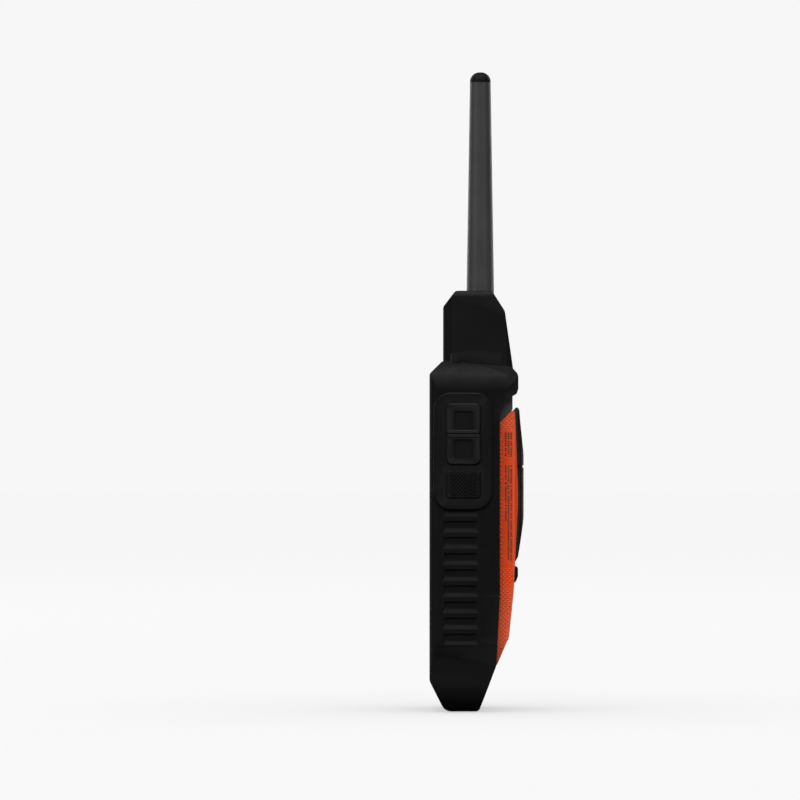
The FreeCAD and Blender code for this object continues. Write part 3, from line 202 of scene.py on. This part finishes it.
class Finish:
    """A node material on a Principled shader, with its usual parts."""

    def __init__(self, name, colour, rough, metal=0.0, **sockets):
        self.material = bpy.data.materials.new(name)
        self.material.use_nodes = True
        self.nodes = self.material.node_tree.nodes
        self.links = self.material.node_tree.links
        self.shader = self.nodes["Principled BSDF"]
        self.set("Base Color", (*colour, 1.0))
        self.set("Roughness", rough)
        self.set("Metallic", metal)
        for socket, value in sockets.items():
            self.set(socket.replace("_", " "), value)
        self.place = self.nodes.new("ShaderNodeTexCoord").outputs["Object"]
        self.normal = None

    def set(self, socket, value):
        self.shader.inputs[socket].default_value = value

    def noise(self, size, detail=4.0, stretch=None):
        """Noise whose features are about size metres across."""
        node = self.nodes.new("ShaderNodeTexNoise")
        node.inputs["Scale"].default_value = 1.0 / size
        node.inputs["Detail"].default_value = detail
        node.inputs["Roughness"].default_value = NOISE_ROUGHNESS
        place = self.place
        if stretch:
            place = self.stretched(stretch)
        self.links.new(place, node.inputs["Vector"])
        return node.outputs["Fac"]

    def stretched(self, scale):
        node = self.nodes.new("ShaderNodeMapping")
        node.inputs["Scale"].default_value = scale
        self.links.new(self.place, node.inputs["Vector"])
        return node.outputs["Vector"]

    def ramp(self, value, low, high, start, end):
        """Maps a 0-1 value onto colours between two stops."""
        node = self.nodes.new("ShaderNodeValToRGB")
        node.color_ramp.elements[0].position = low
        node.color_ramp.elements[1].position = high
        node.color_ramp.elements[0].color = (*start, 1.0)
        node.color_ramp.elements[1].color = (*end, 1.0)
        self.links.new(value, node.inputs["Fac"])
        return node.outputs["Color"]

    def mix(self, share, first, second):
        """Blends two colours, each a socket or a colour."""
        node = self.nodes.new("ShaderNodeMix")
        node.data_type = "RGBA"
        for index, value in zip(MIX_COLOURS, (first, second)):
            if isinstance(value, tuple):
                node.inputs[index].default_value = (*value, 1.0)
            else:
                self.links.new(value, node.inputs[index])
        self.links.new(share, node.inputs[0])
        return node.outputs[MIX_RESULT]

    def colour_from(self, socket):
        self.links.new(socket, self.shader.inputs["Base Color"])

    def colour_range(self, size, first, second):
        """Cloudy change between two colours."""
        self.colour_from(self.ramp(self.noise(size), *COLOUR_STOPS, first, second))

    def rough_range(self, size, smooth, rough):
        """Cloudy change of roughness."""
        grey = self.ramp(self.noise(size), *ROUGH_STOPS, (smooth,) * 3, (rough,) * 3)
        self.links.new(grey, self.shader.inputs["Roughness"])

    def bump(self, height, depth, strength=1.0):
        """Adds a height to the surface normal, on top of earlier bumps."""
        node = self.nodes.new("ShaderNodeBump")
        node.inputs["Strength"].default_value = strength
        node.inputs["Distance"].default_value = depth
        self.links.new(height, node.inputs["Height"])
        if self.normal is not None:
            self.links.new(self.normal, node.inputs["Normal"])
        self.normal = node.outputs["Normal"]
        self.links.new(self.normal, self.shader.inputs["Normal"])

    def edge_wear(self, colour, amount):
        """Paler worn surface on sharp outer edges."""
        geometry = self.nodes.new("ShaderNodeNewGeometry")
        edge = self.ramp(geometry.outputs["Pointiness"], *WEAR_STOPS, (0.0,) * 3, (amount,) * 3)
        base = self.shader.inputs["Base Color"]
        first = base.links[0].from_socket if base.links else tuple(base.default_value)[:3]
        self.colour_from(self.mix(edge, first, colour))


def dress(material, *nodes):
    """Gives CAD nodes a material."""
    for node in nodes:
        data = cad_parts[node].data
        if len(data.materials) == 0:
            data.materials.append(material)
        for index in range(len(data.materials)):
            data.materials[index] = material


# ---- materials ---------------------------------------------------------------------
WORN_RUBBER = 4.5              # how much paler worn rubber is
WORN_PLASTIC = 2.2             # the same for plastic
DRAWN_LINES = (1.0, 1.0, 14.0)  # stretch of a metal's fine lines
TRACK_STRETCH = (1.0, 1.0, 0.2)  # of the tracks under a board's mask


def rubber(name, dark, light, grain):
    """Moulded rubber: very dark, fine even grain, slightly uneven sheen."""
    finish = Finish(name, dark, 0.55, Specular_IOR_Level=0.1)
    finish.colour_range(9 * MM, dark, light)
    finish.rough_range(5 * MM, 0.5, 0.62)
    finish.bump(finish.noise(0.22 * MM, detail=2.0), grain)
    finish.bump(finish.noise(2.5 * MM, detail=3.0), 0.02 * MM, 0.4)
    finish.edge_wear(tuple(WORN_RUBBER * c for c in light), amount=0.35)
    return finish.material


def moulded(name, dark, light, smooth, rough):
    """Moulded plastic with a spark-eroded grain."""
    finish = Finish(name, dark, rough, Specular_IOR_Level=0.22)
    finish.colour_range(12 * MM, dark, light)
    finish.rough_range(4 * MM, smooth, rough)
    finish.bump(finish.noise(0.3 * MM, detail=3.0), 0.012 * MM)
    finish.edge_wear(tuple(min(1.0, WORN_PLASTIC * c) for c in light), amount=0.3)
    return finish.material


def metal(name, colour, smooth, rough):
    """Plain metal with fine drawn lines and a few darker patches."""
    finish = Finish(name, colour, rough, metal=1.0)
    finish.colour_range(6 * MM, tuple(0.8 * c for c in colour), colour)
    finish.rough_range(3 * MM, smooth, rough)
    finish.bump(finish.noise(0.4 * MM, detail=2.0, stretch=DRAWN_LINES), 0.004 * MM, 0.6)
    return finish.material


def antenna_rubber():
    """Satin sheath, a little greyer and smoother than the jacket."""
    finish = Finish("antenna_rubber", (0.03, 0.03, 0.032), 0.42, Specular_IOR_Level=0.3)
    finish.colour_range(14 * MM, (0.048, 0.048, 0.049), (0.06, 0.06, 0.061))
    finish.rough_range(7 * MM, 0.38, 0.47)
    finish.bump(finish.noise(0.5 * MM, detail=2.0), 0.006 * MM)
    return finish.material


def orange_plastic():
    """Orange shell: matte, with slight unevenness of tone and a fine grain."""
    finish = Finish("orange_plastic", (0.8, 0.085, 0.03), 0.5, Specular_IOR_Level=0.05)
    finish.colour_range(8 * MM, (0.98, 0.06, 0.007), (1.0, 0.072, 0.012))
    finish.rough_range(3 * MM, 0.45, 0.58)
    finish.bump(finish.noise(0.25 * MM, detail=2.0), 0.01 * MM)
    finish.edge_wear((0.85, 0.25, 0.12), amount=0.4)
    return finish.material


def lens_glass():
    """Clear hardened glass with faint smudges."""
    finish = Finish("lens_glass", (0.9, 0.92, 0.95), 0.03, Transmission_Weight=1.0, IOR=1.5)
    finish.rough_range(16 * MM, 0.02, 0.07)
    return finish.material


def display_face():
    """Switched-off display: near black with a cool tint."""
    finish = Finish("display_face", (0.006, 0.007, 0.009), 0.12)
    finish.colour_range(30 * MM, (0.005, 0.006, 0.008), (0.008, 0.009, 0.012))
    finish.rough_range(10 * MM, 0.08, 0.16)
    return finish.material


def circuit_board():
    """Green solder mask over faint tracks."""
    finish = Finish("circuit_board", (0.01, 0.12, 0.05), 0.35)
    tracks = finish.noise(1.2 * MM, detail=1.0, stretch=TRACK_STRETCH)
    finish.colour_from(finish.ramp(tracks, 0.48, 0.52, (0.008, 0.09, 0.04), (0.015, 0.16, 0.07)))
    finish.bump(tracks, 0.02 * MM)
    return finish.material


def label_ink():
    """Dark brown ink of the label's plain dashes."""
    finish = Finish("label_ink", (0.05, 0.02, 0.012), 0.6)
    finish.colour_range(2 * MM, (0.045, 0.017, 0.011), (0.09, 0.03, 0.018))
    finish.rough_range(2 * MM, 0.5, 0.65)
    return finish.material


def label_film():
    """Smooth film, the shell's own orange but flatter."""
    finish = Finish("label_film", (0.6, 0.1, 0.03), 0.4, Specular_IOR_Level=0.08)
    finish.colour_range(10 * MM, (0.86, 0.08, 0.018), (0.93, 0.095, 0.024))
    finish.rough_range(6 * MM, 0.36, 0.46)
    return finish.material


def add_materials():
    """Dresses every CAD node."""
    jacket = rubber("jacket_rubber", (0.0045, 0.0045, 0.0047), (0.0058, 0.0058, 0.006), 0.016 * MM)
    dress(jacket, "rubber_jacket", "side_port_flap", "top_jack_cover", "antenna_cap")
    pads = rubber("pad_rubber", (0.0066, 0.0066, 0.0069), (0.0084, 0.0084, 0.0087), 0.012 * MM)
    dress(pads, "ptt_pad", "volume_up_pad", "volume_down_pad")
    seal = rubber("seal_rubber", (0.02, 0.02, 0.02), (0.03, 0.03, 0.03), 0.01 * MM)
    dress(seal, "housing_gasket", "display_gasket", "battery_seal", "latch_seal")
    black = moulded("black_plastic", (0.007, 0.007, 0.0075), (0.01, 0.01, 0.0105), 0.4, 0.52)
    dress(black, "front_housing", "battery_tray", "ptt_key", "volume_up_key", "volume_down_key",
          "latch_knob", "microphone", "board_chips", "side_switches", "feed_cable", "clip_spine")
    rail = moulded("rail_plastic", (0.022, 0.022, 0.023), (0.03, 0.03, 0.031), 0.4, 0.5)
    dress(rail, "spine_rail")
    grey = moulded("grey_plastic", (0.05, 0.05, 0.052), (0.065, 0.065, 0.067), 0.42, 0.55)
    dress(grey, "rear_housing")
    keys = moulded("key_plastic", (0.022, 0.022, 0.024), (0.03, 0.03, 0.032), 0.35, 0.45)
    dress(keys, "front_key_left", "front_key_middle", "front_key_right")
    dress(antenna_rubber(), "antenna_sheath")
    dress(orange_plastic(), "battery_shell", "latch_cup")
    steel = metal("steel", (0.42, 0.42, 0.44), 0.25, 0.4)
    dress(steel, "housing_screws", "spine_screws", "latch_shaft", "latch_cam", "latch_clip", "bail_pin",
          "latch_bail", "rf_shield", "speaker_mesh", "speaker", "chassis_plate")
    gold = metal("gold_contacts", (0.83, 0.6, 0.22), 0.2, 0.32)
    dress(gold, "battery_contacts", "contact_springs", "headset_jack", "usb_socket",
          "antenna_connector", "antenna_socket", "antenna_core")
    dress(lens_glass(), "display_lens")
    dress(display_face(), "display_panel")
    dress(circuit_board(), "main_board", "side_switch_board")
    dress(moulded("ceramic", (0.55, 0.5, 0.42), (0.6, 0.55, 0.46), 0.4, 0.5), "gps_antenna")
    dress(moulded("cell_wrap", (0.12, 0.13, 0.16), (0.15, 0.16, 0.2), 0.3, 0.4), "battery_cells")
    dress(label_film(), "battery_label")


# ---- shading of the CAD nodes ------------------------------------------------------
SHARP_ANGLE = 20.0             # degrees between faces that keep a sharp edge
AREA_WEIGHT = 90               # how far large faces outweigh small ones


def smooth_nodes():
    """Even shading on flat faces: sharp edges split, normals weighted by area."""
    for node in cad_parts.values():
        split = node.modifiers.new("sharp_edges", "EDGE_SPLIT")
        split.split_angle = math.radians(SHARP_ANGLE)
        weighted = node.modifiers.new("even_normals", "WEIGHTED_NORMAL")
        weighted.mode = "FACE_AREA_WITH_ANGLE"
        weighted.weight = AREA_WEIGHT


# ---- pieces ------------------------------------------------------------------------
UP = Vector((0, 0, 1))
STUD_PITCH = 1.7 * MM          # between studs of one row
STUD_ROW = 0.85 * MM           # from row to row, rows offset by half a pitch
STUD_HALF_LENGTH = 0.62 * MM
STUD_HALF_WIDTH = 0.55 * MM
STUD_TOP = 0.35                # size of a stud's top, as a share of its foot
STUD_HEIGHT = 0.22 * MM
STUD_ROOT = -0.2               # how deep a stud's foot is sunk, as a share of its height
STUD_LEAN = 0.7                # a stud sits where the surface faces its ray this squarely
PATCH_REACH = 0.9 * MM         # bare margin round every stud
PATCH_STEP = 0.35 * MM         # how far the surface may step within that margin
PATCH_LEAN = 0.8               # and how much it may turn
JACKET_EDGE = 10.05 * MM       # the shell shows behind this
SPINE_MARGIN = 1.1 * MM        # bare strip round the clip spine
CUP_MARGIN = 0.9 * MM          # round the latch cup
LABEL_MARGIN = 0.8 * MM        # above and below the label
LABEL_FRONT_MARGIN = 0.3 * MM  # in front of the label
RAY_HEIGHT = 10 * MM           # rays to the back start this far behind it
RAY_SIDE = 60 * MM             # rays to the sides start this far from the middle

DASH_SEED = 41
DASH_COLUMNS = ((11.9, 79.0), (13.05, 63.0), (14.1, 62.0))  # depth and lowest dash, mm
DASH_TOP_BLOCK = (115.0, 105.0)  # heights of the short upper block, mm
DASH_LOWER_START = 101.5       # top of the long lower block, mm
DASH_LENGTH = (0.35, 0.62)     # shortest and longest, mm
DASH_HALF_TALL = (0.34, 0.42)  # least and most, mm
WORD_SHARE = 0.16              # share of the gaps that end a word
WORD_GAP = 0.75                # after a word, mm
DASH_GAP = 0.22                # between dashes of a word, mm
DASH_LEVELS = ((-0.01, 0.0), (0.02, 0.03))  # height over the film and inset, foot and top, mm

OUTLINE_STEPS = 8              # per rounded corner
LENS_MARGIN = 0.4 * MM         # glass left bare outside the border
LENS_CORNERS = (2.6 * MM, 1.2 * MM)      # radius outside and inside
LENS_SIDE_BAND = 2.8 * MM
LENS_END_BAND = 3.6 * MM
LENS_DEPTHS = (-0.3 * MM, -0.2 * MM)     # inside the glass, from its rear face

MARK_DEPTHS = (-0.06 * MM, 0.05 * MM)    # from the key's face, outside and inside
BAR_OUTSIDE = (2.2 * MM, 0.9 * MM, 0.5 * MM)   # half width, half height, corner
BAR_INSIDE = (1.8 * MM, 0.5 * MM, 0.3 * MM)
CIRCLE_OUTSIDE = (1.7 * MM, 1.7 * MM, 1.69 * MM)
CIRCLE_INSIDE = (1.25 * MM, 1.25 * MM, 1.24 * MM)
CHEVRON_ARM = 1.7 * MM
CHEVRON_RISE = 1.2 * MM
CHEVRON_THICK = 0.45 * MM


def make_piece(name, verts, faces, material, body):
    """New mesh object that rides a body and takes its finish from a slot."""
    mesh = bpy.data.meshes.new(name)
    mesh.from_pydata(verts, [], faces)
    mesh.materials.append(material)
    piece = bpy.data.objects.new(name, mesh)
    bpy.context.scene.collection.objects.link(piece)
    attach(piece, body)


def surface_of(node):
    """Ray target made of a CAD node's own faces."""
    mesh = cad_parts[node].data
    return BVHTree.FromPolygons([v.co for v in mesh.vertices], [p.vertices for p in mesh.polygons])


def add_stud(verts, faces, spot, along):
    """Adds one raised diamond with a smaller top: four corners at the foot, four above."""
    centre, normal = spot
    across = normal.cross(along)
    first = len(verts)
    for level, share in ((STUD_ROOT * STUD_HEIGHT, 1.0), (STUD_HEIGHT, STUD_TOP)):
        for u, v in ((1, 0), (0, 1), (-1, 0), (0, -1)):
            verts.append(centre + normal * level + along * (u * share * STUD_HALF_LENGTH)
                         + across * (v * share * STUD_HALF_WIDTH))
    faces.append([first + 4, first + 5, first + 6, first + 7])
    for k in range(4):
        m = (k + 1) % 4
        faces.append([first + k, first + m, first + 4 + m, first + 4 + k])


def stud_spot(shell, start, ray, reach_one, reach_two):
    """Where a ray meets plain surface, or None near an edge or a pocket."""
    place, normal, _, _ = shell.ray_cast(start, ray)
    if place is None or -normal.dot(ray) < STUD_LEAN:
        return None
    for side in (reach_one, -reach_one, reach_two, -reach_two):
        near, other, _, _ = shell.ray_cast(start + side, ray)
        if near is None or abs((near - place - side).dot(normal)) > PATCH_STEP:
            return None
        if other.dot(normal) < PATCH_LEAN:
            return None
    return place, normal


def back_fittings():
    """Test for the spots on the back that the spine and the latch keep bare."""
    spine_low, spine_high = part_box("spine_rail")
    latch_low, latch_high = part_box("latch_knob")
    latch = (latch_low + latch_high) / 2
    cup_low, cup_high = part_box("latch_cup")
    latch_reach = (cup_high.x - cup_low.x) / 2 + CUP_MARGIN

    def bare(x, z):
        across_spine = spine_low.x - SPINE_MARGIN < x < spine_high.x + SPINE_MARGIN
        if across_spine and z > spine_low.z - SPINE_MARGIN:
            return True
        return math.hypot(x - latch.x, z - latch.z) < latch_reach

    return bare


def side_label():
    """Test for the spots on the sides that the label keeps bare."""
    label_low, label_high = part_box("battery_label")

    def bare(side, y, z):
        along_label = label_low.z - LABEL_MARGIN < z < label_high.z + LABEL_MARGIN
        return side > 0 and along_label and y > label_low.y - LABEL_FRONT_MARGIN

    return bare


def shell_texture(material):
    """Raised lattice over the back and the sides of the orange shell."""
    shell = surface_of("battery_shell")
    low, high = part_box("battery_shell")
    bare_back, bare_side = back_fittings(), side_label()
    back_columns = int((high.x - low.x) / STUD_PITCH) + 1
    side_columns = int((high.y - low.y) / STUD_PITCH) + 2
    verts, faces = [], []
    for row in range(int((high.z - low.z) / STUD_ROW)):
        z = low.z + (row + 0.5) * STUD_ROW
        offset = (row % 2) * STUD_PITCH / 2
        for column in range(back_columns):
            x = low.x + offset + column * STUD_PITCH
            if not bare_back(x, z):
                add_back_stud(verts, faces, shell, Vector((x, high.y + RAY_HEIGHT, z)))
        for side in (-1, 1):
            for column in range(side_columns):
                y = JACKET_EDGE + offset + column * STUD_PITCH
                if not bare_side(side, y, z):
                    add_side_stud(verts, faces, shell, side, Vector((side * RAY_SIDE, y, z)))
    make_piece("shell_texture", verts, faces, material, "battery_pack")


def add_back_stud(verts, faces, shell, start):
    """A stud where a ray from behind meets the shell, if the surface is plain there."""
    spot = stud_spot(shell, start, Vector((0, -1, 0)), Vector((PATCH_REACH, 0, 0)), UP * PATCH_REACH)
    if spot:
        along = UP - spot[1] * UP.dot(spot[1])
        along.normalize()
        add_stud(verts, faces, spot, along)


def add_side_stud(verts, faces, shell, side, start):
    """A stud where a ray from one side meets the shell, if the surface is plain there."""
    spot = stud_spot(shell, start, Vector((-side, 0, 0)), Vector((0, PATCH_REACH, 0)), UP * PATCH_REACH)
    if spot:
        add_stud(verts, faces, spot, UP)


def label_print(material):
    """Rows of short plain dashes on the label, like small print seen from afar."""
    _, label_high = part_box("battery_label")
    draw = random.Random(DASH_SEED)
    verts, faces = [], []
    for y, foot in DASH_COLUMNS:
        for top, end in (DASH_TOP_BLOCK, (DASH_LOWER_START, foot)):
            z = top
            while z > end:
                length = draw.uniform(*DASH_LENGTH)
                ends_word = draw.random() < WORD_SHARE
                tall = draw.uniform(*DASH_HALF_TALL)
                add_dash(verts, faces, label_high.x, (y - tall, y + tall), (z - length, z))
                z -= length + (WORD_GAP if ends_word else DASH_GAP)
    make_piece("label_print", verts, faces, material, "battery_pack")


def add_dash(verts, faces, x, across, along):
    """One thin raised dash; across and along are in millimetres, x in metres."""
    first = len(verts)
    for level, inset in DASH_LEVELS:
        for y in (across[0] + inset, across[1] - inset):
            for z in (along[0] + inset, along[1] - inset):
                verts.append((x + level * MM, y * MM, z * MM))
    top = first + 4
    faces.append([top, top + 2, top + 3, top + 1])
    for a, b in ((0, 2), (2, 3), (3, 1), (1, 0)):
        faces.append([first + a, first + b, top + b, top + a])


def ring_outline(half_width, half_height, radius):
    """Rounded rectangle about the origin, as (u, v)."""
    spots = []
    for corner in range(4):
        turn = corner * math.pi / 2
        cu = (half_width - radius) * (1 if corner in (0, 3) else -1)
        cv = (half_height - radius) * (1 if corner in (0, 1) else -1)
        for step in range(OUTLINE_STEPS + 1):
            angle = turn + step / OUTLINE_STEPS * math.pi / 2
            spots.append((cu + radius * math.cos(angle), cv + radius * math.sin(angle)))
    return spots


def middle_of(box):
    """Middle of a CAD node's box, seen from the front, as (x, z)."""
    low, high = box
    return (low.x + high.x) / 2, (low.z + high.z) / 2


def flat_ring(name, centre, outlines, depths, material, body):
    """Flat frame standing in the XZ plane, between two outlines and two depths."""
    verts, faces = [], []
    count = len(outlines[0])
    for y in depths:
        for outline in outlines:
            verts += [(centre[0] + u, y, centre[1] + v) for u, v in outline]
    for k in range(count):
        m = (k + 1) % count
        faces.append([k, m, count + m, count + k])
        faces.append([2 * count + k, 3 * count + k, 3 * count + m, 2 * count + m])
        faces.append([k, 2 * count + k, 2 * count + m, m])
        faces.append([count + k, count + m, 3 * count + m, 3 * count + k])
    make_piece(name, verts, faces, material, body)


def lens_border(material):
    """Printed frame inside the display glass."""
    low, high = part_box("display_lens")
    half_width = (high.x - low.x) / 2 - LENS_MARGIN
    half_height = (high.z - low.z) / 2 - LENS_MARGIN
    outer = ring_outline(half_width, half_height, LENS_CORNERS[0])
    inner = ring_outline(half_width - LENS_SIDE_BAND, half_height - LENS_END_BAND, LENS_CORNERS[1])
    depths = [high.y + depth for depth in LENS_DEPTHS]
    flat_ring("lens_border", middle_of((low, high)), (outer, inner), depths, material,
              "radio")


def ring_mark(name, key, body, outside, inside, material):
    """A raised ring or bar on a front key, given the key's box."""
    depths = [key[0].y + depth for depth in MARK_DEPTHS]
    outlines = (ring_outline(*outside), ring_outline(*inside))
    flat_ring(name, middle_of(key), outlines, depths, material, body)


def chevron_mark(key, material):
    """A raised chevron on the right key, given the key's box."""
    x, z = middle_of(key)
    peak, root = CHEVRON_RISE / 2, -CHEVRON_RISE / 2
    outline = [(-CHEVRON_ARM, root), (0, peak), (CHEVRON_ARM, root), (CHEVRON_ARM, root - CHEVRON_THICK),
               (0, peak - CHEVRON_THICK), (-CHEVRON_ARM, root - CHEVRON_THICK)]
    verts = [(x + u, key[0].y + depth, z + v) for depth in MARK_DEPTHS for u, v in outline]
    faces = [[0, 5, 4, 1], [1, 4, 3, 2], [6, 7, 10, 11], [7, 8, 9, 10]]
    faces += [[k, (k + 1) % 6, 6 + (k + 1) % 6, 6 + k] for k in range(6)]
    make_piece("right_key_mark", verts, faces, material, "right_key")


def key_marks(material):
    """A plain raised sign on each front key: a bar, a ring and a chevron."""
    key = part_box("front_key_left")
    ring_mark("left_key_mark", key, "left_key", BAR_OUTSIDE, BAR_INSIDE, material)
    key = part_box("front_key_middle")
    ring_mark("middle_key_mark", key, "middle_key", CIRCLE_OUTSIDE, CIRCLE_INSIDE, material)
    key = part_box("front_key_right")
    chevron_mark(key, material)


def add_pieces():
    """Everything the CAD leaves to the looks."""
    shell_texture(bpy.data.materials["orange_plastic"])
    label_print(label_ink())
    lens_border(bpy.data.materials["black_plastic"])
    key_marks(moulded("mark_print", (0.55, 0.55, 0.56), (0.62, 0.62, 0.63), 0.4, 0.5))


add_studio()
add_materials()
smooth_nodes()
add_pieces()
